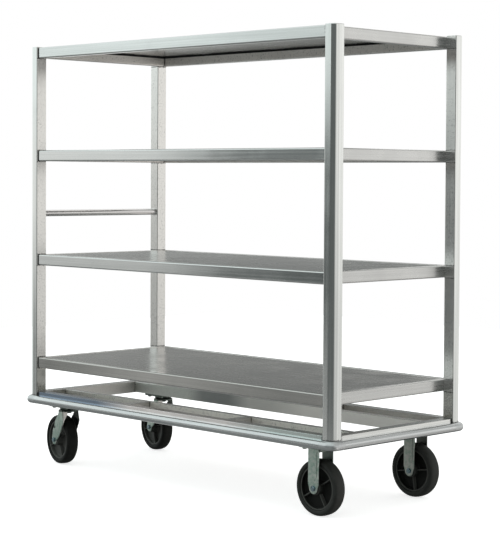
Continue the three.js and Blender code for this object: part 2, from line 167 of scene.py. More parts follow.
def feed(tree, socket, value):
    """Gives a socket a number, a colour or the output of another node."""
    if isinstance(value, tuple):
        socket.default_value = (*value, 1.0)
    elif isinstance(value, (int, float)):
        socket.default_value = value
    else:
        tree.links.new(value, socket)


def noise(tree, coords, scale, detail, rough):
    """Noise on mapped object coordinates; scale is one number per axis, per metre."""
    mapping = tree.nodes.new("ShaderNodeMapping")
    mapping.inputs["Scale"].default_value = scale
    tree.links.new(coords, mapping.inputs["Vector"])
    tex = tree.nodes.new("ShaderNodeTexNoise")
    tex.inputs["Scale"].default_value = 1.0
    tex.inputs["Detail"].default_value = detail
    tex.inputs["Roughness"].default_value = rough
    tree.links.new(mapping.outputs["Vector"], tex.inputs["Vector"])
    return tex.outputs["Fac"]


def ranged(tree, value, low, high, to_low, to_high, smooth=False):
    """Maps a value from one range to another, held at the ends."""
    node = tree.nodes.new("ShaderNodeMapRange")
    node.interpolation_type = "SMOOTHSTEP" if smooth else "LINEAR"
    node.inputs["From Min"].default_value = low
    node.inputs["From Max"].default_value = high
    node.inputs["To Min"].default_value = to_low
    node.inputs["To Max"].default_value = to_high
    tree.links.new(value, node.inputs["Value"])
    return node.outputs["Result"]


def calc(tree, operation, a, b):
    """One sum on two values, each a socket or a number."""
    node = tree.nodes.new("ShaderNodeMath")
    node.operation = operation
    feed(tree, node.inputs[0], a)
    feed(tree, node.inputs[1], b)
    return node.outputs[0]


def mixed(tree, factor, colour_a, colour_b):
    """A colour between two, each a socket or a tuple."""
    node = tree.nodes.new("ShaderNodeMix")
    node.data_type = "RGBA"
    tree.links.new(factor, node.inputs["Factor"])
    feed(tree, node.inputs[6], colour_a)
    feed(tree, node.inputs[7], colour_b)
    return node.outputs[2]


def part_of(tree, vector, letter):
    """One of the three numbers of a vector, by its letter."""
    node = tree.nodes.new("ShaderNodeSeparateXYZ")
    tree.links.new(vector, node.inputs[0])
    return node.outputs[letter]


def mark(tree, name):
    """A mark of the mesh by its name."""
    node = tree.nodes.new("ShaderNodeAttribute")
    node.attribute_name = name
    return node.outputs["Fac"]


def bumped(tree, shader, height, strength, depth):
    """Lets a pattern of heights, up to depth high, catch the light."""
    bump = tree.nodes.new("ShaderNodeBump")
    bump.inputs["Strength"].default_value = strength
    bump.inputs["Distance"].default_value = depth
    tree.links.new(height, bump.inputs["Height"])
    tree.links.new(bump.outputs["Normal"], shader.inputs["Normal"])


GRAIN_SCALES = {"X": (9.0, 900.0, 900.0), "Y": (900.0, 9.0, 900.0), "Z": (900.0, 900.0, 9.0)}
STREAK_SCALES = {"X": (1.6, 150.0, 150.0), "Y": (150.0, 1.6, 150.0), "Z": (150.0, 150.0, 1.6)}
SPOT_SCALES = (170.0, 170.0, 170.0)
SMUDGE_SCALES = (7.0, 7.0, 7.0)
SWELL_SCALES = (5.0, 5.0, 5.0)
STREAK_SHARE = 0.88
SPECK_SHARE = 0.5
# Near black for weld soot and painted shade where parts meet.
SOOT_AND_SHADE = (0.10, 0.098, 0.095)
# Near black painted shadow of the open gap along the deck.
GAP_SHADE = (0.012, 0.012, 0.013)
DRAWN_BUMP = 0.35
DRAWN_DEPTH = 0.2 * MM


def drawn_metal(
    name, colour, rough, axis, grain=0.1, mottle=0.2, wave=0.0, marks=(), inside_shading=None, painted_reflections=(), low=()
):
    """Bare metal with drawing lines along one axis, faint mottling and smudges.

    Each of the painted reflections is (from x, to x, colour): a reflection of the room, painted
    into the colour, that comes in along X. low is the same for painted shade on the inner sides
    that comes in downwards.
    """
    material, tree, shader = new_material(name)
    coords = tree.nodes.new("ShaderNodeTexCoord").outputs["Object"]
    fine = noise(tree, coords, GRAIN_SCALES[axis], 3.0, 0.6)
    streak = noise(tree, coords, STREAK_SCALES[axis], 2.0, 0.5)
    spots = noise(tree, coords, SPOT_SCALES, 3.0, 0.6)
    smudge = noise(tree, coords, SMUDGE_SCALES, 4.0, 0.55)
    dark = tuple(c * STREAK_SHARE for c in colour)
    tone = mixed(tree, ranged(tree, streak, 0.35, 0.65, 0.0, 1.0), dark, colour)
    tone = mixed(tree, ranged(tree, smudge, 0.62, 0.8, 0.0, 0.3), tone, dark)
    roughness = ranged(tree, streak, 0.3, 0.7, rough * 0.85, rough * 1.15)
    smear = ranged(tree, smudge, 0.4, 0.75, 0.0, rough * 0.5)
    roughness = calc(tree, "ADD", roughness, smear)
    # Inner sides take the material's inside tone: painted light on the rails, posts and front inner
    # tube, painted shade on the other base tubes; specks are mixed in.
    if "inner" in marks:
        inner = mark(tree, "inner")
        inner_shading_tone, inner_rough = inside_shading
        # Painted shade on the inner sides, darker downwards.
        if low:
            start, end, painted_tone = low
            reach = ranged(tree, part_of(tree, coords, "Z"), start, end, 0.0, 1.0)
            inner_shading_tone = mixed(tree, reach, inner_shading_tone, painted_tone)
        tone = mixed(tree, inner, tone, inner_shading_tone)
        speck = calc(tree, "MULTIPLY", inner, ranged(tree, spots, 0.56, 0.68, 0.0, 0.6))
        tone = mixed(tree, speck, tone, tuple(c * SPECK_SHARE for c in colour))
        roughness = calc(tree, "ADD", roughness, calc(tree, "MULTIPLY", inner, inner_rough))
    # Painted reflections of the room, coming in along X.
    for start, end, painted_tone in painted_reflections:
        reach = ranged(tree, part_of(tree, coords, "X"), start, end, 0.0, 1.0)
        tone = mixed(tree, reach, tone, painted_tone)
    # Weld soot and painted shade where parts meet, with a ragged edge.
    if "soot_and_shade" in marks:
        ragged = calc(tree, "ADD", mark(tree, "soot_and_shade"), ranged(tree, spots, 0.3, 0.7, -0.3, 0.3))
        soot_and_shade_amount = ranged(tree, ragged, 0.4, 0.65, 0.0, 0.92)
        tone = mixed(tree, soot_and_shade_amount, tone, SOOT_AND_SHADE)
        roughness = calc(tree, "ADD", roughness, calc(tree, "MULTIPLY", soot_and_shade_amount, 0.2))
    shader.inputs["Metallic"].default_value = 1.0
    # Painted shadow in the open gap along the deck: near black, dull and not metallic.
    if "gap_shade" in marks:
        gap_shade_amount = mark(tree, "gap_shade")
        tone = mixed(tree, gap_shade_amount, tone, GAP_SHADE)
        roughness = calc(tree, "ADD", roughness, calc(tree, "MULTIPLY", gap_shade_amount, 0.5))
        tree.links.new(calc(tree, "SUBTRACT", 1.0, gap_shade_amount), shader.inputs["Metallic"])
    tree.links.new(tone, shader.inputs["Base Color"])
    tree.links.new(roughness, shader.inputs["Roughness"])
    height = calc(tree, "MULTIPLY", fine, grain)
    height = calc(tree, "ADD", height, calc(tree, "MULTIPLY", spots, mottle))
    if wave:
        swell = noise(tree, coords, SWELL_SCALES, 1.0, 0.4)
        height = calc(tree, "ADD", height, calc(tree, "MULTIPLY", swell, wave))
    bumped(tree, shader, height, DRAWN_BUMP, DRAWN_DEPTH)
    return material


BASE_TONE = (0.83, 0.84, 0.83)
BASE_END_TONE = (0.94, 0.945, 0.93)
BASE_ROUGH = 0.15
# Inner sides of the base tubes: a darker tone, painted shade; the front inner tube's lit tone below is
# painted light.
BASE_INSIDE_SHADE = ((0.64, 0.63, 0.61), 0.25)
BASE_LIT = ((0.93, 0.91, 0.86), 0.36)
BASE_EDGE = 1.2 * MM
BASE_MARKS = ("inner", "soot_and_shade")
BASE_WAVE = 14.0
RAIL_SOOT_AND_SHADE = 18 * MM
STUB_SOOT_AND_SHADE = 5 * MM
# The front base rail: the blue reflection of the room painted into its colour, with painted
# reflections along it.
RAIL_BLUE_REFLECTION = (0.33, 0.40, 0.50)
RAIL_REFLECTIONS = ((-0.43, -0.22, (1.0, 0.96, 0.95)), (0.33, 0.56, (0.76, 0.84, 0.82)))
# The rear inner tube: a darker inside tone, painted shade, and painted reflections of the room along
# it.
TUBE_INSIDE_SHADE = ((0.74, 0.76, 0.72), 0.25)
TUBE_REFLECTIONS = (
    (-0.47, -0.38, (0.40, 0.41, 0.41)),
    (-0.22, -0.10, (0.76, 0.75, 0.72)),
    (0.03, 0.22, (1.0, 0.98, 0.94)),
)


def base_metal(name, tone, axis="X", inside_shading=BASE_INSIDE_SHADE, painted_reflections=()):
    """The mill-finish metal of one kind of base tube."""
    return drawn_metal(
        name, tone, BASE_ROUGH, axis, wave=BASE_WAVE, marks=BASE_MARKS, inside_shading=inside_shading, painted_reflections=painted_reflections
    )


# The front rail carries the room's blue reflection and painted reflections, the rear inner tube
# painted reflections, and the front inner tube is a lit copy with painted light inside.
base_x = base_metal("base_tube_lengthwise", BASE_TONE)
base_y = base_metal("base_tube_across", BASE_END_TONE, "Y")
base_front = base_metal("base_rail_front", RAIL_BLUE_REFLECTION, painted_reflections=RAIL_REFLECTIONS)
base_rear = base_metal("base_tube_rear", BASE_TONE, inside_shading=TUBE_INSIDE_SHADE, painted_reflections=TUBE_REFLECTIONS)
base_lit = base_metal("base_tube_front", BASE_TONE, inside_shading=BASE_LIT)
base_own = {
    "base_rail_front": base_front,
    "base_inner_tube_front": base_lit,
    "base_inner_tube_rear": base_rear,
}
for node, axis, inward in (
    ("base_rail_front", "X", 1),
    ("base_rail_rear", "X", -1),
    ("base_inner_tube_front", "X", -1),
    ("base_inner_tube_rear", "X", -1),
    ("base_rail_left", "Y", 1),
    ("base_rail_right", "Y", -1),
    ("base_stub_front_left", "Y", 1),
    ("base_stub_front_right", "Y", 1),
    ("base_stub_rear_left", "Y", 1),
    ("base_stub_rear_right", "Y", 1),
):
    material = base_own.get(node, base_x if axis == "X" else base_y)
    reach = RAIL_SOOT_AND_SHADE if "rail" in node else STUB_SOOT_AND_SHADE
    tube(node, axis, BASE_EDGE, material, inward, reach=reach)

# Bumper: a half-round extrusion along each side and a rounded block at each corner.
# Satin aluminium with fine drawn lines; the corner blocks carry the posts.
BUMPER_TONE = (0.72, 0.74, 0.75)
PROFILE_STEPS = 14
CORNER_STEPS = 14
MID_BAND = 2.4 * MM
CORNER_RADIUS = 40 * MM
SIDES = (("front", -1), ("rear", 1))
ENDS = (("left", -1), ("right", 1))
bumper_x = drawn_metal("bumper_lengthwise", BUMPER_TONE, 0.18, "X")
bumper_y = drawn_metal("bumper_across", BUMPER_TONE, 0.18, "Y")
bumper_block = drawn_metal("bumper_corner", BUMPER_TONE, 0.34, "X", grain=0.03, mottle=0.03)


def nose_profile(height):
    """(how far in from the outer face, height) up the half-round nose."""
    bulge = (height - MID_BAND) / 2
    steps = [math.pi / 2 * k / PROFILE_STEPS for k in range(PROFILE_STEPS + 1)]
    lower = [(bulge * (1 - math.sin(a)), bulge * (1 - math.cos(a))) for a in steps]
    upper = [(inset, height - z) for inset, z in reversed(lower)]
    return lower + upper


for node, axis, sign in (
    ("bumper_front", "X", -1),
    ("bumper_rear", "X", 1),
    ("bumper_left", "Y", -1),
    ("bumper_right", "Y", 1),
):
    low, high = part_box(node)
    size = high - low
    depth, length = (size.y, size.x) if axis == "X" else (size.x, size.y)
    outline = [(sign * (depth - inset), z) for inset, z in nose_profile(size.z)]
    outline += [(0.0, size.z), (0.0, 0.0)]
    if axis == "X":
        origin = Vector((0, low.y if sign > 0 else high.y, low.z))
    else:
        origin = Vector((low.x if sign > 0 else high.x, 0, low.z))
    bm = bmesh.new()
    loft(bm, [(outline, -length / 2), (outline, length / 2)], axis, origin)
    finish_piece(bm, node, bumper_x if axis == "X" else bumper_y, FRAME_BODY)

corner_turns = [math.pi / 2 * k / CORNER_STEPS for k in range(CORNER_STEPS + 1)]
for side, sy in SIDES:
    for end, sx in ENDS:
        node = f"bumper_corner_{side}_{end}"
        low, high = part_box(node)
        size = high - low
        inner = Vector((high.x if sx < 0 else low.x, high.y if sy < 0 else low.y, low.z))
        middle = size.x - CORNER_RADIUS
        rows = []
        for inset, z in nose_profile(size.z):
            radius = CORNER_RADIUS - inset
            points = [(0.0, 0.0), (size.x - inset, 0.0)]
            for a in corner_turns:
                points.append((middle + radius * math.cos(a), middle + radius * math.sin(a)))
            points.append((0.0, size.y - inset))
            rows.append(([(sx * u, sy * v) for u, v in points], z))
        bm = bmesh.new()
        loft(bm, rows, "Z", inner)
        finish_piece(bm, node, bumper_block, FRAME_BODY)

# Corner posts: square tube with one well rounded outer corner and a ground top.
# Drawn aluminium, the grain runs up the post; the two sides turned inward are duller, with a
# painted tint of the warm light, painted shade low down, and weld soot with painted joint shade
# at each shelf's welds and at the foot.
POST_TONE = (0.88, 0.895, 0.885)
POST_RADIUS = 24.0 * MM
POST_EDGE = 3.0 * MM
POST_TOP_ROUND = 2.2 * MM
POST_TOP_STEPS = 4
POST_TOP_EDGE = 0.4 * MM
POST_STEPS = 12
POST_MARKS = ("inner", "soot_and_shade")
# Inner sides: a warmer tone, a painted tint of the warm light, and a little rougher.
POST_INSIDE_WARM_LIGHT = ((0.88, 0.865, 0.845), 0.06)
# Painted shade on the posts' inner sides, from 0.47 m down, full below 0.40 m.
POST_LOW_SHADE = (0.47, 0.40, (0.60, 0.60, 0.57))
# Weld soot and painted joint shade in bands along each rail's welds, and at the foot.
BEAD = 5.0 * MM
BEAD_SOOT_AND_SHADE = 0.9
SEAM = 1.5 * MM
FOOT_SOOT_AND_SHADE_REACH = 60 * MM
FOOT_SOOT_AND_SHADE = ((0.0, 0.8), (SOOT_AND_SHADE_REACH, 0.42), (FOOT_SOOT_AND_SHADE_REACH, 0.3))
LEVELS = ("bottom", "lower", "upper", "top")
post_metal = drawn_metal(
    "post_metal", POST_TONE, 0.11, "Z", marks=POST_MARKS, inside_shading=POST_INSIDE_WARM_LIGHT, low=POST_LOW_SHADE
)
for side, sy in SIDES:
    for end, sx in ENDS:
        node = f"post_{side}_{end}"
        low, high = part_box(node)
        centre = (low + high) / 2
        half = (high - low) / 2
        radii = [POST_RADIUS if signs == (sx, sy) else POST_EDGE for signs in CORNER_SIGNS]
        section = rounded(half.x, half.y, radii, POST_STEPS)
        beads = {rise - half.z: soot for rise, soot in FOOT_SOOT_AND_SHADE}
        for level in LEVELS:
            rail_low, rail_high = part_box(f"shelf_{level}_rail_{end}")
            under = rail_low.z - centre.z
            over = rail_high.z - centre.z
            beads.update({under - BEAD: 0.0, under: BEAD_SOOT_AND_SHADE, under + SEAM: 0.0})
            beads.update({over - SEAM: 0.0, over: BEAD_SOOT_AND_SHADE, over + BEAD: 0.0})
        rows = [(section, w) for w in sorted(beads) if w < half.z - POST_TOP_ROUND - TINY]
        rows.append((section, half.z - POST_TOP_ROUND))
        for k in range(1, POST_TOP_STEPS + 1):
            a = math.pi / 2 * k / POST_TOP_STEPS
            inset = POST_TOP_ROUND * (1 - math.cos(a))
            lift = POST_TOP_ROUND * (1 - math.sin(a))
            smaller = [max(radius - inset, POST_TOP_EDGE) for radius in radii]
            ring = rounded(half.x - inset, half.y - inset, smaller, POST_STEPS)
            rows.append((ring, half.z - lift))
        bm = bmesh.new()
        inner = bm.verts.layers.float.new("inner")
        soot_and_shade = bm.verts.layers.float.new("soot_and_shade")

        def paint(u, v, w):
            in_x = (-sx * u - half.x + POST_EDGE) / POST_EDGE
            in_y = (-sy * v - half.y + POST_EDGE) / POST_EDGE
            turned_in = max(in_x, in_y)
            soot_and_shade_here = turned_in > 0.5 or w < SOOT_AND_SHADE_REACH - half.z
            return (inner, turned_in), (soot_and_shade, beads.get(w, 0.0) if soot_and_shade_here else 0.0)

        loft(bm, rows, "Z", centre, paint)
        finish_piece(bm, node, post_metal, FRAME_BODY)

# Shelf rims: rounded aluminium tube welded between the posts.
# Front and rear rails run along X, the end rails across; weld soot and painted joint shade
# darken their ends, their inner sides are paler with painted light, and the open groove along
# the deck on their inner sides is painted shadow.
RAIL_TONE = (0.77, 0.785, 0.78)
RAIL_SHADED_TONE = (0.60, 0.59, 0.57)
RAIL_END_TONE = (0.74, 0.74, 0.735)
RAIL_EDGE = 5.5 * MM
RAIL_MARKS = ("inner", "soot_and_shade", "gap_shade")
# Inner sides: a paler warm tone, painted light, and rougher.
RAIL_INSIDE_LIGHT = ((0.95, 0.915, 0.88), 0.4)
RAIL_END_INSIDE_LIGHT = ((0.95, 0.915, 0.88), 0.2)
rail_x = drawn_metal(
    "rail_lengthwise", RAIL_TONE, 0.1, "X", marks=RAIL_MARKS, inside_shading=RAIL_INSIDE_LIGHT
)
# The bottom shelf's front rail takes a darker copy of the tone: painted shade.
rail_low = drawn_metal(
    "rail_lengthwise_shaded", RAIL_SHADED_TONE, 0.1, "X", marks=RAIL_MARKS, inside_shading=RAIL_INSIDE_LIGHT
)
rail_y = drawn_metal(
    "rail_across", RAIL_END_TONE, 0.24, "Y", marks=RAIL_MARKS, inside_shading=RAIL_END_INSIDE_LIGHT
)
for level in LEVELS:
    for side, axis, inward in (
        ("front", "X", 1),
        ("rear", "X", -1),
        ("left", "Y", 1),
        ("right", "Y", -1),
    ):
        node = f"shelf_{level}_rail_{side}"
        lengthwise = rail_low if (level, side) == ("bottom", "front") else rail_x
        material = lengthwise if axis == "X" else rail_y
        tube(node, axis, RAIL_EDGE, material, inward, groove=True)

# Decks: smooth aluminium sheet set just below the top of the rim.
# Glossy at a low angle, with the faint waves of a thin sheet; the CAD sheets themselves are used.
DECK_TONE = (0.56, 0.57, 0.565)
DECK_SHADED_TONE = (0.465, 0.465, 0.455)
DECK_GRAIN = 0.12
DECK_WAVE = 18.0
deck_metal = drawn_metal("deck_sheet", DECK_TONE, 0.21, "X", DECK_GRAIN, DECK_GRAIN, DECK_WAVE)
# The bottom deck takes a darker copy of the sheet: painted shade.
deck_shaded = drawn_metal("deck_sheet_shaded", DECK_SHADED_TONE, 0.22, "X", DECK_GRAIN, DECK_GRAIN, DECK_WAVE)
for level in LEVELS:
    node = f"shelf_{level}_deck"
    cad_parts[node].data.materials.clear()
    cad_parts[node].data.materials.append(deck_shaded if level == "bottom" else deck_metal)

# Push handle: a polished round tube between the handle-end posts, with a small collar.
# Drawn aluminium with the grain along it; the collar sits at its rear end.
HANDLE_TONE = (0.96, 0.935, 0.935)
HANDLE_STEPS = 48
HANDLE_RADIUS = 13.35 * MM
COLLAR_LENGTH = 7 * MM
COLLAR_SOFT = 0.6 * MM


def spin_round(bm, geom, centre, axis, steps):
    """Spins edges once round an axis and joins the last step to the first."""
    spindle = AXES[axis](0.0, 0.0, 1.0)
    bmesh.ops.spin(
        bm, geom=geom, cent=centre, axis=spindle, angle=math.tau, steps=steps, use_merge=True
    )


def lathe(bm, profile, steps, centre, axis="Z", turn=0.0):
    """Spins (radius, height) points about an upright or crosswise axis and closes both ends."""
    verts = []
    for radius, w in profile:
        place = AXES[axis](radius * math.cos(turn), radius * math.sin(turn), w)
        verts.append(bm.verts.new(place + centre))
    run = [bm.edges.new(pair) for pair in zip(verts, verts[1:])]
    spin_round(bm, verts + run, centre, axis, steps)
    bmesh.ops.edgeloop_fill(bm, edges=[edge for edge in bm.edges if edge.is_boundary])


handle_metal = drawn_metal("handle_tube", HANDLE_TONE, 0.17, "Y", grain=0.15, mottle=0.1)
low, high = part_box("handle_bar")
collar_radius = (high.x - low.x) / 2
half_length = (high.y - low.y) / 2
shoulder = half_length - COLLAR_LENGTH
profile = [
    (HANDLE_RADIUS, -half_length),
    (HANDLE_RADIUS, shoulder),
    (collar_radius - COLLAR_SOFT, shoulder),
    (collar_radius, shoulder + COLLAR_SOFT),
    (collar_radius, half_length),
]
bm = bmesh.new()
lathe(bm, profile, HANDLE_STEPS, (low + high) / 2, "Y")
finish_piece(bm, "handle_bar", handle_metal, FRAME_BODY)

# Swivel casters under the handle end: plate with raceway, fork and axle.
# Zinc plated pressed steel, the plate bolted under the inner tubes. The fork is a round crown
# with two raked legs whose front edges are turned inward at the top.
CASTER_X = 724.9 * MM
CASTER_Y = 259.3 * MM
BASE_BOTTOM = 256.0 * MM
WHEEL_RADIUS = 101.6 * MM
TRAIL = 55.0 * MM
YAW = math.radians(-10.5)
PLATE_HALF_X = 55.0 * MM
PLATE_HALF_Y = 61.0 * MM
PLATE_THICKNESS = 10.0 * MM
BOLT_X = 38.0 * MM
BOLT_Y = 44.0 * MM
LEG_OUTER = 38.5 * MM
LEG_THICKNESS = 5.0 * MM
LEG_SOFT = 1.7 * MM
TIP_RADIUS = 20.0 * MM
RACE_TOP = BASE_BOTTOM - PLATE_THICKNESS
RACE_BOTTOM = RACE_TOP - 13.5 * MM
CROWN_GAP = 0.3 * MM
CROWN_TOP = RACE_BOTTOM - CROWN_GAP
CROWN_BOTTOM = CROWN_TOP - 7.0 * MM
CROWN_EDGE = 1.0 * MM
NECK_HALF = 16.0 * MM
NECK_Z = CROWN_BOTTOM - 8.0 * MM
BACK_KNEE = (-42.0 * MM, WHEEL_RADIUS + 87.5 * MM)
BACK_LOW = (-67.0 * MM, WHEEL_RADIUS + 38.5 * MM)
BACK_TIP = (-TRAIL - TIP_RADIUS, WHEEL_RADIUS)
FRONT_TIP = (-TRAIL + TIP_RADIUS, WHEEL_RADIUS)
FRONT_LOW = (-20.0 * MM, WHEEL_RADIUS + 10.5 * MM)
FRONT_MID = (-3.0 * MM, WHEEL_RADIUS + 31.5 * MM)
FRONT_KNEE = (27.0 * MM, WHEEL_RADIUS + 84.5 * MM)
HOLE_X = -TRAIL + 4.0 * MM
HOLE_Z = WHEEL_RADIUS + 53.0 * MM
HOLE_RADIUS = 5.5 * MM
HOLE_STEPS = 20
FLANGE_WIDTH = 19.0 * MM
FLANGE_TOP_X = 18.5 * MM
FLANGE_LOW_X = 26.2 * MM
FLANGE_MID_SHARE = 0.25
FLANGE_DEPTH = 3.0 * MM
FLANGE_DROP = 2.0 * MM
PIN_RADIUS = 8.0 * MM
PIN_TOP = RACE_BOTTOM + 2.0 * MM
PIN_LOW = CROWN_BOTTOM - 5.0 * MM
PIN_STEPS = 32
PIN_NUT = 12.9 * MM
PIN_NUT_HEIGHT = 7.9 * MM
ROUND_STEPS = 64
ZINC_TONE = (0.47, 0.525, 0.48)
ZINC_ROUGH = 0.34
GREEN_SHARES = (0.62, 0.78, 0.72)
PALE_SHARE = 1.35
SHADE_SHARE = 0.12
GLEAM = (0.96, 0.92, 0.90)
ZINC_BUMP = 0.3
ZINC_DEPTH = 0.3 * MM


def zinc(name, tone, rough):
    """Zinc plate: soft patches like frost, scratches, a greenish cast in random patches."""
    material, tree, shader = new_material(name)
    coords = tree.nodes.new("ShaderNodeTexCoord").outputs["Object"]
    patches = noise(tree, coords, (90.0, 90.0, 90.0), 3.0, 0.65)
    broad = noise(tree, coords, (24.0, 24.0, 24.0), 2.0, 0.5)
    grain = noise(tree, coords, (420.0, 420.0, 140.0), 3.0, 0.6)
    green = tuple(c * share for c, share in zip(tone, GREEN_SHARES))
    pale = tuple(min(c * PALE_SHARE, 1.0) for c in tone)
    colour = mixed(tree, ranged(tree, patches, 0.38, 0.62, 0.0, 1.0), green, tone)
    colour = mixed(tree, ranged(tree, broad, 0.55, 0.72, 0.0, 0.55), colour, pale)
    # Painted shade and painted highlights, by the faces' shade and gleam marks.
    colour = mixed(tree, mark(tree, "shade"), colour, tuple(c * SHADE_SHARE for c in tone))
    colour = mixed(tree, mark(tree, "gleam"), colour, GLEAM)
    tree.links.new(colour, shader.inputs["Base Color"])
    shader.inputs["Metallic"].default_value = 1.0
    roughness = ranged(tree, patches, 0.3, 0.7, rough * 0.8, rough * 1.3)
    tree.links.new(roughness, shader.inputs["Roughness"])
    bumped(tree, shader, calc(tree, "ADD", patches, grain), ZINC_BUMP, ZINC_DEPTH)
    return material


def shade_faces(bm, shaded):
    """Marks faces by their centre and normal: above 0 painted shade, below 0 a painted highlight."""
    shade = bm.faces.layers.float.new("shade")
    gleam = bm.faces.layers.float.new("gleam")
    bmesh.ops.recalc_face_normals(bm, faces=bm.faces)
    for face in bm.faces:
        amount = shaded(face.calc_center_median(), face.normal)
        face[shade] = max(amount, 0.0)
        face[gleam] = max(-amount, 0.0)


def place_at(bm, x, y, yaw=0.0):
    """Turns a caster's mesh about its own upright axis and stands it at its place."""
    turned = Matrix.Translation((x, y, 0)) @ Matrix.Rotation(yaw, 4, "Z")
    bmesh.ops.transform(bm, matrix=turned, verts=bm.verts)


def loop(bm, points, y):
    """A closed loop of edges in the X-Z plane at y."""
    verts = [bm.verts.new((x, y, z)) for x, z in points]
    return [bm.edges.new((verts[i], verts[i - 1])) for i in range(len(verts))]


def thicken(bm, faces, shift):
    """Pulls flat faces out into a closed plate."""
    grown = bmesh.ops.extrude_face_region(bm, geom=faces)
    moved = [v for v in grown["geom"] if isinstance(v, bmesh.types.BMVert)]
    bmesh.ops.translate(bm, verts=moved, vec=shift)


def join_part(bm, part):
    """Adds a finished part to the mesh of its piece."""
    copy = bpy.data.meshes.new("part")
    part.to_mesh(copy)
    part.free()
    bm.from_mesh(copy)
    bpy.data.meshes.remove(copy)


RIM_ANGLE = 1.2
RIM_SEGMENTS = 2
RIM_PROFILE = 0.6


def sheet(bm, outline, y_low, y_high, soft, holes=()):
    """A flat plate with a rim softened by a bevel, cut from an outline in the X-Z plane."""
    part = bmesh.new()
    edges = loop(part, outline, y_low)
    for hole in holes:
        edges += loop(part, hole, y_low)
    bmesh.ops.triangle_fill(part, edges=edges, use_beauty=True)
    thicken(part, part.faces[:], (0, y_high - y_low, 0))
    bmesh.ops.recalc_face_normals(part, faces=part.faces)
    rim = [edge for edge in part.edges if edge.calc_face_angle(0) > RIM_ANGLE]
    bmesh.ops.bevel(
        part, geom=rim, offset=soft, segments=RIM_SEGMENTS, profile=RIM_PROFILE, affect="EDGES"
    )
    join_part(bm, part)


HEX_CHAMFER_SHARE = 0.12


def hexagon(bm, radius, low, high, centre, axis, turn=0.0):
    """A hexagonal head with chamfered corners on its far end."""
    chamfer = radius * HEX_CHAMFER_SHARE
    shoulder = high - math.copysign(chamfer, high - low)
    lathe(bm, [(radius, low), (radius, shoulder), (radius - chamfer, high)], 6, centre, axis, turn)


PLATE_SOFT = 1.0 * MM
PLATE_CORNER = 8.0 * MM
PLATE_STEPS = 8
WASHER_RADIUS = 8.8 * MM
WASHER_FOOT = 8.0 * MM
WASHER_LOW = 1.6 * MM
WASHER_SOFT = 0.2 * MM
WASHER_STEPS = 24
BOLT_HEAD = 7.8 * MM
BOLT_LOW = 6.4 * MM
BOLT_TURN = 0.4
SUNK = 1.0 * MM


def bolted_plate(bm):
    """Top plate with rounded corners and the heads of its four bolts on washers below it."""
    top = BASE_BOTTOM - TINY
    low = BASE_BOTTOM - PLATE_THICKNESS
    full = rounded(PLATE_HALF_X, PLATE_HALF_Y, [PLATE_CORNER] * 4, PLATE_STEPS)
    less_x = PLATE_HALF_X - PLATE_SOFT
    less_y = PLATE_HALF_Y - PLATE_SOFT
    less = rounded(less_x, less_y, [PLATE_CORNER - PLATE_SOFT] * 4, PLATE_STEPS)
    rows = [(less, low), (full, low + PLATE_SOFT), (full, top - PLATE_SOFT), (less, top)]
    loft(bm, rows, "Z", Vector())
    washer = [
        (WASHER_RADIUS, low + SUNK),
        (WASHER_RADIUS, low - WASHER_LOW + WASHER_SOFT),
        (WASHER_FOOT, low - WASHER_LOW),
    ]
    for sx in (-1, 1):
        for sy in (-1, 1):
            spot = Vector((sx * BOLT_X, sy * BOLT_Y, 0))
            lathe(bm, washer, WASHER_STEPS, spot)
            hexagon(bm, BOLT_HEAD, low, low - BOLT_LOW, spot, "Z", turn=sx * BOLT_TURN + sy)


TIP_STEPS = 14


def tip_arc(x):
    """The round end of a leg, from its back to its front edge."""
    turns = [math.pi + math.pi * k / TIP_STEPS for k in range(TIP_STEPS + 1)]
    z = WHEEL_RADIUS
    return [(x + TIP_RADIUS * math.cos(a), z + TIP_RADIUS * math.sin(a)) for a in turns]


def inside_legs(centre, normal):
    """Shade on the wheel side of the legs, the far leg's edges and the crown.

    The legs' front edges gleam, most of all along the turned-in lip.
    """
    if abs(centre.y) > LEG_OUTER / 2 and normal.y * centre.y < -0.5 * abs(centre.y):
        return 0.95
    if centre.y > LEG_OUTER / 2 and normal.y < 0.5:
        return 1.0
    if centre.z > CROWN_BOTTOM - TINY:
        return 0.85
    if centre.x > FLANGE_TOP_X - 0.2 * MM and normal.x > 0.8 and centre.z > FRONT_KNEE[1]:
        return -0.9
    return -0.6 if normal.x > 0.3 and abs(normal.y) < 0.75 else 0.0


def under_base(centre, normal):
    """Shade below the base, a little less on what stands upright."""
    return 0.95 if normal.z < -0.3 else 0.7


EASE_REACH = 7.0 * MM
EASE_STEPS = 4


def eased(points):
    """The open run of points with each inner corner turned into a short curve."""
    run = [Vector(p) for p in points]
    curve = [run[0]]
    for before, corner, after in zip(run, run[1:], run[2:]):
        near = corner + (before - corner).normalized() * EASE_REACH
        far = corner + (after - corner).normalized() * EASE_REACH
        for k in range(EASE_STEPS + 1):
            t = k / EASE_STEPS
            curve.append(near.lerp(corner, t).lerp(corner.lerp(far, t), t))
    curve.append(run[-1])
    return [tuple(p) for p in curve]


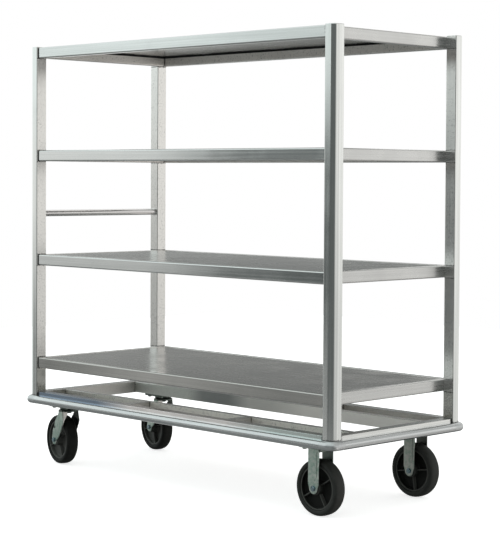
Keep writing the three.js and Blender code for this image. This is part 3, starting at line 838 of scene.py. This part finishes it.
zinc_metal = zinc("zinc_plate", ZINC_TONE, ZINC_ROUGH)
race = [
    (30.5 * MM, RACE_TOP + 2 * MM),
    (31.0 * MM, RACE_TOP - 0.4 * MM),
    (34.5 * MM, RACE_TOP - 2.0 * MM),
    (36.0 * MM, RACE_TOP - 4.5 * MM),
    (35.6 * MM, RACE_TOP - 6.2 * MM),
    (33.0 * MM, RACE_TOP - 6.9 * MM),
    (35.6 * MM, RACE_TOP - 7.6 * MM),
    (36.0 * MM, RACE_TOP - 9.2 * MM),
    (34.0 * MM, RACE_TOP - 11.8 * MM),
    (31.0 * MM, RACE_BOTTOM),
]
crown = [
    (LEG_OUTER - CROWN_EDGE, CROWN_TOP),
    (LEG_OUTER, CROWN_TOP - CROWN_EDGE),
    (LEG_OUTER, CROWN_BOTTOM + CROWN_EDGE),
    (LEG_OUTER - CROWN_EDGE, CROWN_BOTTOM),
]
neck_back = (-NECK_HALF, NECK_Z)
neck_front = (NECK_HALF, NECK_Z)
top_back = (-NECK_HALF, CROWN_TOP - SUNK)
top_front = (NECK_HALF, CROWN_TOP - SUNK)
back_edge = eased([top_back, neck_back, BACK_KNEE, BACK_LOW, BACK_TIP])
front_edge = eased([FRONT_TIP, FRONT_LOW, FRONT_MID, FRONT_KNEE, neck_front, top_front])
raked_leg = back_edge[:-1] + tip_arc(-TRAIL) + front_edge[1:]
turns = [math.tau * k / HOLE_STEPS for k in range(HOLE_STEPS)]
hole = [(HOLE_X + HOLE_RADIUS * math.cos(a), HOLE_Z + HOLE_RADIUS * math.sin(a)) for a in turns]
flange_mid = FLANGE_TOP_X + (FLANGE_LOW_X - FLANGE_TOP_X) * FLANGE_MID_SHARE
for side, sy in SIDES:
    bm = bmesh.new()
    bolted_plate(bm)
    lathe(bm, race, ROUND_STEPS, Vector())
    lathe(bm, [(PIN_RADIUS, PIN_TOP), (PIN_RADIUS, PIN_LOW)], PIN_STEPS, Vector())
    nut_top = CROWN_BOTTOM - CROWN_GAP
    hexagon(bm, PIN_NUT, nut_top, nut_top - PIN_NUT_HEIGHT, Vector(), "Z")
    shade_faces(bm, under_base)
    place_at(bm, -CASTER_X, sy * CASTER_Y)
    finish_piece(bm, f"caster_{side}_left_plate", zinc_metal, FRAME_BODY)

    bm = bmesh.new()
    for leg in (-1, 1):
        low_y, high_y = sorted((leg * LEG_OUTER, leg * (LEG_OUTER - LEG_THICKNESS)))
        sheet(bm, raked_leg, low_y, high_y, LEG_SOFT, [hole])
    lathe(bm, crown, ROUND_STEPS, Vector())
    for leg in (-1, 1):
        inner = leg * (LEG_OUTER - LEG_THICKNESS + SUNK)
        lip = inner - leg * FLANGE_WIDTH
        corners = [
            (FLANGE_TOP_X, inner, CROWN_BOTTOM + SUNK),
            (FLANGE_TOP_X, lip, CROWN_BOTTOM + SUNK),
            (flange_mid, lip, NECK_Z - FLANGE_DROP),
            (FLANGE_LOW_X, inner, FRONT_KNEE[1] - SUNK),
        ]
        face = bm.faces.new([bm.verts.new(corner) for corner in corners])
        thicken(bm, [face], (-FLANGE_DEPTH, 0, 0))
    shade_faces(bm, inside_legs)
    place_at(bm, -CASTER_X, sy * CASTER_Y, YAW)
    finish_piece(bm, f"caster_{side}_left_fork", zinc_metal, f"swivel_{side}_left")

# Fixed casters at the other end: plate, crown and legs pressed as one bracket.
# The same zinc plated steel, fresher on the front one; a shallow raised panel with a pointed
# foot stiffens each leg.
FRESH_TONE = (0.66, 0.71, 0.66)
WORN_TONE = (0.53, 0.525, 0.49)
WORN_ROUGH = 0.36
RIGID_HALF = 26.0 * MM
RIGID_CROWN_TOP = BASE_BOTTOM - 5.0 * MM
RIGID_CROWN_BOTTOM = BASE_BOTTOM - PLATE_THICKNESS - 14.0 * MM
RIGID_TAPER_Z = WHEEL_RADIUS + 16.0 * MM
PAD_HALF = 17.0 * MM
PAD_LOW = WHEEL_RADIUS + 27.0 * MM
PAD_RISE = 1.2 * MM
PAD_TOP = RIGID_CROWN_BOTTOM + 4.0 * MM
PAD_SUNK = 2.0 * MM
PAD_SOFT = 1.0 * MM
CROWN_SOFT = 0.9 * MM


def inside_fixed(centre, normal):
    """Shade on the wheel side of the legs, on the rims of the panels and under the base."""
    if centre.z > RIGID_CROWN_BOTTOM and abs(centre.x) > RIGID_HALF * 1.1:
        return under_base(centre, normal)
    if abs(centre.y) > LEG_OUTER + TINY and abs(normal.y) < 0.95:
        return 0.7
    return 0.8 if abs(centre.y) < LEG_OUTER - TINY and normal.y * centre.y <= 0 else 0.0


fixed_zinc = {
    "front": zinc("zinc_plate_fresh", FRESH_TONE, ZINC_ROUGH),
    "rear": zinc("zinc_plate_worn", WORN_TONE, WORN_ROUGH),
}
crown_sheet = [
    (-RIGID_HALF, RIGID_CROWN_TOP),
    (RIGID_HALF, RIGID_CROWN_TOP),
    (RIGID_HALF, RIGID_CROWN_BOTTOM),
    (-RIGID_HALF, RIGID_CROWN_BOTTOM),
]
upright_leg = [(-RIGID_HALF, RIGID_CROWN_TOP), (-RIGID_HALF, RIGID_TAPER_Z)]
upright_leg += tip_arc(0.0)
upright_leg += [(RIGID_HALF, RIGID_TAPER_Z), (RIGID_HALF, RIGID_CROWN_TOP)]
pad = [
    (-PAD_HALF, PAD_TOP),
    (-PAD_HALF, PAD_LOW + PAD_HALF),
    (-PAD_HALF / 3, PAD_LOW),
    (PAD_HALF / 3, PAD_LOW),
    (PAD_HALF, PAD_LOW + PAD_HALF),
    (PAD_HALF, PAD_TOP),
]
for side, sy in SIDES:
    bm = bmesh.new()
    bolted_plate(bm)
    sheet(bm, crown_sheet, -LEG_OUTER + SUNK, LEG_OUTER - SUNK, CROWN_SOFT)
    for leg in (-1, 1):
        low_y, high_y = sorted((leg * LEG_OUTER, leg * (LEG_OUTER - LEG_THICKNESS)))
        sheet(bm, upright_leg, low_y, high_y, LEG_SOFT)
        low_y, high_y = sorted((leg * (LEG_OUTER + PAD_RISE), leg * (LEG_OUTER - PAD_SUNK)))
        sheet(bm, pad, low_y, high_y, PAD_SOFT)
    shade_faces(bm, inside_fixed)
    place_at(bm, CASTER_X, sy * CASTER_Y)
    finish_piece(bm, f"caster_{side}_right_fork", fixed_zinc[side], FRAME_BODY)

# Axle bolts and wheels, one of each to a caster.
# Plated bolt with head, nut and washers; grey-black moulded wheel with ribs on both sides.
AXLE_RADIUS = 6.3 * MM
AXLE_END = 6.4 * MM
AXLE_SHORT = 1.0 * MM
AXLE_STEPS = 32
AXLE_WASHER = 10.6 * MM
AXLE_WASHER_THICK = 1.2 * MM
AXLE_WASHER_STEPS = 40
NUT_RADIUS = 9.6 * MM
NUT_SHORT = 0.2 * MM
NUT_TURN = 0.3
NUT_TONE = (0.34, 0.40, 0.46)
WHEEL_HALF = 25.4 * MM
SHOULDER = 88.0 * MM
RING_OUTER = 80.0 * MM
RING_INNER = 73.5 * MM
RING_HALF = 21.0 * MM
RING_RISE = 1.2 * MM
WEB_HALF = 4.5 * MM
HUB_RADIUS = 24.0 * MM
HUB_HALF = 32.9 * MM
BORE = 6.45 * MM
RIB_HALF = 19.0 * MM
RIB_WIDTH = 4.0 * MM
RIB_SOFT = 0.8 * MM
RIB_SUNK_IN = 3.0 * MM
RIB_SUNK_OUT = 2.0 * MM
RIB_EDGE_WEAR_AND_LIGHT = 0.85
RIB_SIDE_SHADE = 0.2
RIB_COUNT = 4
WHEEL_STEPS = 144
SHOULDER_STEPS = 6
TREAD_STEPS = 18
TREAD_POWER = 2 / 3
DARK_RUBBER = (0.020, 0.022, 0.019)
PALE_RUBBER = (0.036, 0.039, 0.034)
SCUFF = (0.07, 0.07, 0.065)
HOLLOW_SHADE = (0.006, 0.006, 0.006)
PALE_DUST_AND_LIGHT = (0.13, 0.132, 0.122)
# Dust, painted light and painted shade in the pockets, on the tread and on the ring, by the end of the
# cart.
POCKET_DUST_LIGHT_SHADE = {"left": 0.95, "right": 0.1}
TREAD_DUST_LIGHT_SHADE = {"left": 0.12, "right": 0.42}
RING_DUST_LIGHT_SHADE = {"left": 1.0, "right": 0.85}
RUBBER_BUMP = 0.25
RUBBER_DEPTH = 0.2 * MM


def wheel_material():
    """Moulded rubber-like plastic: matt, faintly mottled, scuffed, painted shade, dust and painted
    light.
    """
    material, tree, shader = new_material("wheel_moulding")
    coords = tree.nodes.new("ShaderNodeTexCoord").outputs["Object"]
    fine = noise(tree, coords, (700.0, 700.0, 700.0), 2.0, 0.6)
    cloud = noise(tree, coords, (45.0, 45.0, 45.0), 4.0, 0.6)
    scuff = noise(tree, coords, (160.0, 160.0, 30.0), 3.0, 0.7)
    tone = mixed(tree, ranged(tree, cloud, 0.35, 0.65, 0.0, 1.0), DARK_RUBBER, PALE_RUBBER)
    dust_light_and_shade = mark(tree, "dust_light_and_shade")
    # Painted shade darkens where the mark is low; dust and painted light pale it where it is high.
    tone = mixed(tree, ranged(tree, dust_light_and_shade, 0.0, 0.5, 0.75, 0.0), tone, HOLLOW_SHADE)
    tone = mixed(tree, ranged(tree, dust_light_and_shade, 0.5, 1.0, 0.0, 0.9), tone, PALE_DUST_AND_LIGHT)
    tone = mixed(tree, ranged(tree, scuff, 0.68, 0.76, 0.0, 0.8), tone, SCUFF)
    tree.links.new(tone, shader.inputs["Base Color"])
    tree.links.new(ranged(tree, cloud, 0.3, 0.7, 0.5, 0.66), shader.inputs["Roughness"])
    tree.links.new(ranged(tree, dust_light_and_shade, 0.0, 0.5, 0.08, 0.5), shader.inputs["Specular IOR Level"])
    bumped(tree, shader, calc(tree, "ADD", fine, scuff), RUBBER_BUMP, RUBBER_DEPTH)
    return material


def dust_light_and_shade_at(radius, end):
    """The wheel's mark at a radius: 0 is painted shade, a half plain and 1 dust and painted light."""
    if radius < HUB_RADIUS + 0.5 * MM:
        return 0.8 if radius > HUB_RADIUS - 2 * MM else 0.5
    if radius < RING_INNER + TINY:
        return POCKET_DUST_LIGHT_SHADE[end]
    return RING_DUST_LIGHT_SHADE[end] if radius < RING_OUTER - 0.5 * MM else TREAD_DUST_LIGHT_SHADE[end]


def wheel_profile():
    """Half the section of the wheel, from the bore out to the middle of the tread."""
    dish = RING_HALF - RING_RISE
    points = [
        (BORE, HUB_HALF),
        (HUB_RADIUS - 1.5 * MM, HUB_HALF),
        (HUB_RADIUS, HUB_HALF - 1.5 * MM),
        (HUB_RADIUS + 1.0 * MM, WEB_HALF + 3.0 * MM),
        (HUB_RADIUS + 4.0 * MM, WEB_HALF),
        (RING_INNER - 3.0 * MM, WEB_HALF),
        (RING_INNER - 0.5 * MM, WEB_HALF + 2.5 * MM),
        (RING_INNER, RING_HALF - 1.0 * MM),
        (RING_INNER + 1.0 * MM, RING_HALF),
        (RING_OUTER - 1.0 * MM, RING_HALF),
    ]
    for k in range(SHOULDER_STEPS):
        a = math.pi / 2 * k / SHOULDER_STEPS
        flank = (SHOULDER - RING_OUTER) * math.cos(a)
        points.append((SHOULDER - flank, dish + (WHEEL_HALF - dish) * math.sin(a)))
    for k in range(1, TREAD_STEPS):
        a = math.pi / 2 * k / TREAD_STEPS
        bulge = (WHEEL_RADIUS - SHOULDER) * math.sin(a) ** TREAD_POWER
        points.append((SHOULDER + bulge, WHEEL_HALF * math.cos(a) ** TREAD_POWER))
    return points


nut_metal = zinc("zinc_nut", NUT_TONE, 0.26)
wheel_rubber = wheel_material()
# Degrees that each wheel has rolled.
WHEEL_TURNS = {
    ("front", "right"): 31.0,
    ("rear", "right"): 8.0,
    ("front", "left"): -63.0,
    ("rear", "left"): -76.0,
}
for (side, end), degrees in WHEEL_TURNS.items():
    sy = -1 if side == "front" else 1
    swivels = end == "left"
    x = -CASTER_X if swivels else CASTER_X
    yaw = YAW if swivels else 0.0
    shift = -TRAIL if swivels else 0.0
    centre = Vector((shift, 0, WHEEL_RADIUS))
    outer = LEG_OUTER + TINY
    ends = outer + AXLE_END
    bm = bmesh.new()
    bolt = [(AXLE_RADIUS, -ends), (AXLE_RADIUS, ends - AXLE_SHORT)]
    lathe(bm, bolt, AXLE_STEPS, centre, "Y")
    for sign in (-1, 1):
        start = sign * (outer + AXLE_WASHER_THICK)
        washer = [(AXLE_WASHER, sign * outer), (AXLE_WASHER, start)]
        lathe(bm, washer, AXLE_WASHER_STEPS, centre, "Y")
        hexagon(bm, NUT_RADIUS, start, sign * (ends - NUT_SHORT), centre, "Y", NUT_TURN)
    place_at(bm, x, sy * CASTER_Y, yaw)
    body = f"swivel_{side}_left" if swivels else FRAME_BODY
    finish_piece(bm, f"caster_{side}_{end}_axle", nut_metal, body)

    bm = bmesh.new()
    dust_light_and_shade = bm.verts.layers.float.new("dust_light_and_shade")
    half = wheel_profile()
    section = []
    for r, w in half + [(WHEEL_RADIUS, 0.0)] + [(r, -w) for r, w in reversed(half)]:
        vert = bm.verts.new((r, w, 0.0))
        vert[dust_light_and_shade] = dust_light_and_shade_at(r, end)
        section.append(vert)
    edges = [bm.edges.new((section[i - 1], section[i])) for i in range(len(section))]
    spin_round(bm, section + edges, Vector(), "Y", WHEEL_STEPS)
    for k in range(RIB_COUNT):
        angle = math.tau * k / RIB_COUNT + math.radians(degrees)
        outline = [
            (HUB_RADIUS - RIB_SUNK_IN, -RIB_WIDTH / 2),
            (RING_INNER + RIB_SUNK_OUT, -RIB_WIDTH / 2),
            (RING_INNER + RIB_SUNK_OUT, RIB_WIDTH / 2),
            (HUB_RADIUS - RIB_SUNK_IN, RIB_WIDTH / 2),
        ]
        rib = bmesh.new()
        rib_dust_light_and_shade = rib.verts.layers.float.new("dust_light_and_shade")
        sheet(rib, outline, -RIB_HALF, RIB_HALF, RIB_SOFT)
        # Rib edges pale with wear and painted light, their sides shaded like the pockets.
        for vert in rib.verts:
            on_edge = abs(vert.co.y) > RIB_HALF - 1 * MM
            vert[rib_dust_light_and_shade] = RIB_EDGE_WEAR_AND_LIGHT if on_edge else RIB_SIDE_SHADE + POCKET_DUST_LIGHT_SHADE[end] / 2
        bmesh.ops.rotate(rib, matrix=Matrix.Rotation(-angle, 3, "Y"), verts=rib.verts)
        join_part(bm, rib)
    bmesh.ops.translate(bm, verts=bm.verts, vec=centre)
    place_at(bm, x, sy * CASTER_Y, yaw)
    finish_piece(bm, f"caster_{side}_{end}_wheel", wheel_rubber, f"wheel_{side}_{end}")

# Studio: pale floor, white to the camera, and a room of panels that the metal reflects.
# A cool panel stands left of the camera, a warm one right of it, the room behind it is dark.
FLOOR_HALF = 6.0
FLOOR_GLOW = 0.73
FLOOR_TONE = (0.86, 0.86, 0.86)
FLOOR_BOUNCE = (0.18, 0.18, 0.18)
bm = bmesh.new()
bmesh.ops.create_grid(bm, x_segments=1, y_segments=1, size=FLOOR_HALF)
floor_mesh = bpy.data.meshes.new("floor")
bm.to_mesh(floor_mesh)
bm.free()
floor = bpy.data.objects.new("floor", floor_mesh)
bpy.context.scene.collection.objects.link(floor)
material, tree, shader = new_material("floor_paint")
tree.nodes.remove(shader)
path = tree.nodes.new("ShaderNodeLightPath")
paint = tree.nodes.new("ShaderNodeBsdfDiffuse")
seen = mixed(tree, path.outputs["Is Camera Ray"], FLOOR_BOUNCE, FLOOR_TONE)
tree.links.new(seen, paint.inputs["Color"])
glow = tree.nodes.new("ShaderNodeEmission")
tree.links.new(calc(tree, "MULTIPLY", path.outputs["Is Camera Ray"], FLOOR_GLOW), glow.inputs[1])
lit = tree.nodes.new("ShaderNodeAddShader")
tree.links.new(paint.outputs[0], lit.inputs[0])
tree.links.new(glow.outputs[0], lit.inputs[1])
clear = tree.nodes.new("ShaderNodeBsdfTransparent")
choice = tree.nodes.new("ShaderNodeMixShader")
tree.links.new(path.outputs["Is Glossy Ray"], choice.inputs[0])
tree.links.new(lit.outputs[0], choice.inputs[1])
tree.links.new(clear.outputs[0], choice.inputs[2])
tree.links.new(choice.outputs[0], tree.nodes["Material Output"].inputs["Surface"])
floor_mesh.materials.append(material)

world = bpy.data.worlds.new("studio")
bpy.context.scene.world = world
world.use_nodes = True
tree = world.node_tree
direction = tree.nodes.new("ShaderNodeTexCoord").outputs["Generated"]
minus_y = calc(tree, "MULTIPLY", part_of(tree, direction, "Y"), -1.0)
azimuth = calc(tree, "ARCTAN2", part_of(tree, direction, "X"), minus_y)
azimuth = calc(tree, "MULTIPLY", azimuth, 180 / math.pi)
elevation = calc(tree, "ARCSINE", part_of(tree, direction, "Z"), 0.0)
elevation = calc(tree, "MULTIPLY", elevation, 180 / math.pi)


def panel(level, tint, az, az_soft, el, el_soft):
    """Light from a patch of the room, in degrees: level inside its bounds, fading at its edges."""
    bands = []
    for angle, bounds, softs in ((azimuth, az, az_soft), (elevation, el, el_soft)):
        edges = []
        for bound, soft in zip(bounds, softs):
            edges.append(ranged(tree, angle, bound - soft, bound + soft, 0.0, 1.0, smooth=True))
        bands.append(calc(tree, "SUBTRACT", *edges))
    amount = calc(tree, "MULTIPLY", calc(tree, "MULTIPLY", *bands), level)
    scaled = tree.nodes.new("ShaderNodeVectorMath")
    scaled.operation = "SCALE"
    scaled.inputs[0].default_value = tint
    tree.links.new(amount, scaled.inputs["Scale"])
    return scaled.outputs[0]


COOL = (0.93, 1.0, 0.985)
WARM = (1.0, 0.985, 0.955)
DIM = (0.92, 1.0, 0.98)
GREY = (1.0, 0.99, 0.965)
BLUSH = (1.0, 0.95, 0.91)
PANELS = (
    (0.12, DIM, (-200, 200), (1, 1), (-100, 100), (1, 1)),
    (0.04, DIM, (-118, -44.1), (1, 0.5), (-100, 2), (1, 1)),
    (0.68, COOL, (-118, -41), (3, 1.5), (1.9, 100), (1.3, 1)),
    (0.70, COOL, (-41, -21), (1.5, 3), (1.9, 100), (1.3, 1)),
    (0.18, COOL, (-118, -46.4), (3, 2.5), (1.9, 100), (1.3, 1)),
    (0.67, GREY, (-118, -48.0), (3, 0.8), (-3.7, 1.9), (3.2, 1.3)),
    (0.24, GREY, (-51.6, -47.6), (0.8, 0.6), (-14, -4.4), (1, 1.6)),
    (0.36, GREY, (-49.4, -46.0), (0.8, 0.8), (-14, -7.7), (1, 0.5)),
    (0.16, COOL, (-118, -60), (3, 4), (-8.4, 1.9), (0.8, 1.3)),
    (0.27, COOL, (-118, -60), (3, 4), (-8.4, -3.6), (0.8, 2.0)),
    (0.08, GREY, (-118, -42.9), (3, 0.4), (-100, -5.5), (1, 0.8)),
    (0.28, GREY, (-44.0, -42.6), (0.3, 0.4), (-14, -5.2), (1, 0.6)),
    (0.14, GREY, (-42.9, 62), (0.4, 8), (-100, -8.5), (1, 0.6)),
    (0.60, COOL, (-21, 70), (3, 12), (14, 100), (4, 1)),
    (0.50, GREY, (-145, -118), (2, 2), (14, 100), (4, 1)),
    (0.72, WARM, (70, 190), (12, 1), (-3.5, 14), (4, 6)),
    (0.12, WARM, (134.5, 190), (2, 1), (-3.5, 14), (4, 6)),
    (0.42, WARM, (70, 190), (12, 1), (14, 100), (6, 1)),
    (0.44, WARM, (70, 190), (12, 1), (-12, -3.5), (2, 4)),
    (0.20, WARM, (134.5, 190), (2, 1), (-12, -3.5), (2, 4)),
    (0.84, WARM, (-200, -142), (1, 2), (-3.5, 100), (4, 1)),
    (0.70, WARM, (-200, -142), (1, 2), (-12, -3.5), (2, 4)),
    (0.58, GREY, (-132.8, -118), (8, 2), (-30, 5.2), (5, 4)),
    (0.06, GREY, (-145, -118), (2, 2), (-30, 12), (5, 5)),
    (0.05, GREY, (-145, -135), (2, 2), (-30, 5), (5, 2)),
    (1.40, BLUSH, (96, 116), (3, 3), (-34, -16), (3, 3)),
    (0.42, BLUSH, (100, 172), (6, 6), (-70, -13), (10, 4)),
)
total = None
for level, tint, az, az_soft, el, el_soft in PANELS:
    light = panel(level, tint, az, az_soft, el, el_soft)
    if total is None:
        total = light
        continue
    summed = tree.nodes.new("ShaderNodeVectorMath")
    summed.operation = "ADD"
    tree.links.new(total, summed.inputs[0])
    tree.links.new(light, summed.inputs[1])
    total = summed.outputs[0]
path = tree.nodes.new("ShaderNodeLightPath")
shown = mixed(tree, path.outputs["Is Camera Ray"], total, (1.0, 1.0, 1.0))
tree.links.new(shown, tree.nodes["Background"].inputs["Color"])

# Camera: at the place and angle the photograph was taken from.
# A fit to the edges of the posts, shelves, base and wheels gave its place and its lens.
CAMERA_PLACE = Vector((4.81718, -4.55268, 1.20500))
AZIMUTH = math.radians(44.191)
DOWN = math.radians(1.983)
ROLL = math.radians(0.3813)
FOCAL_PIXELS = 1677.92
IMAGE_WIDTH = 500
IMAGE_HEIGHT = 553
CENTRE_X = 305.84
CENTRE_Y = 234.63
away = math.cos(DOWN)
back = Vector((math.sin(AZIMUTH) * away, -math.cos(AZIMUTH) * away, math.sin(DOWN)))
right = Vector((math.cos(AZIMUTH), math.sin(AZIMUTH), 0))
up = back.cross(right)
right_rolled = math.cos(ROLL) * right + math.sin(ROLL) * up
up_rolled = -math.sin(ROLL) * right + math.cos(ROLL) * up
camera_data = bpy.data.cameras.new("camera")
camera = bpy.data.objects.new("camera", camera_data)
bpy.context.scene.collection.objects.link(camera)
turned = Matrix((right_rolled, up_rolled, back)).transposed().to_4x4()
camera.matrix_world = Matrix.Translation(CAMERA_PLACE) @ turned
camera_data.sensor_width = 36
camera_data.lens = camera_data.sensor_width * FOCAL_PIXELS / IMAGE_HEIGHT
camera_data.shift_x = (IMAGE_WIDTH / 2 - CENTRE_X) / IMAGE_HEIGHT
camera_data.shift_y = (CENTRE_Y - IMAGE_HEIGHT / 2) / IMAGE_HEIGHT
camera_data.clip_end = 60
bpy.context.scene.camera = camera
bpy.context.scene.view_settings.view_transform = "Standard"
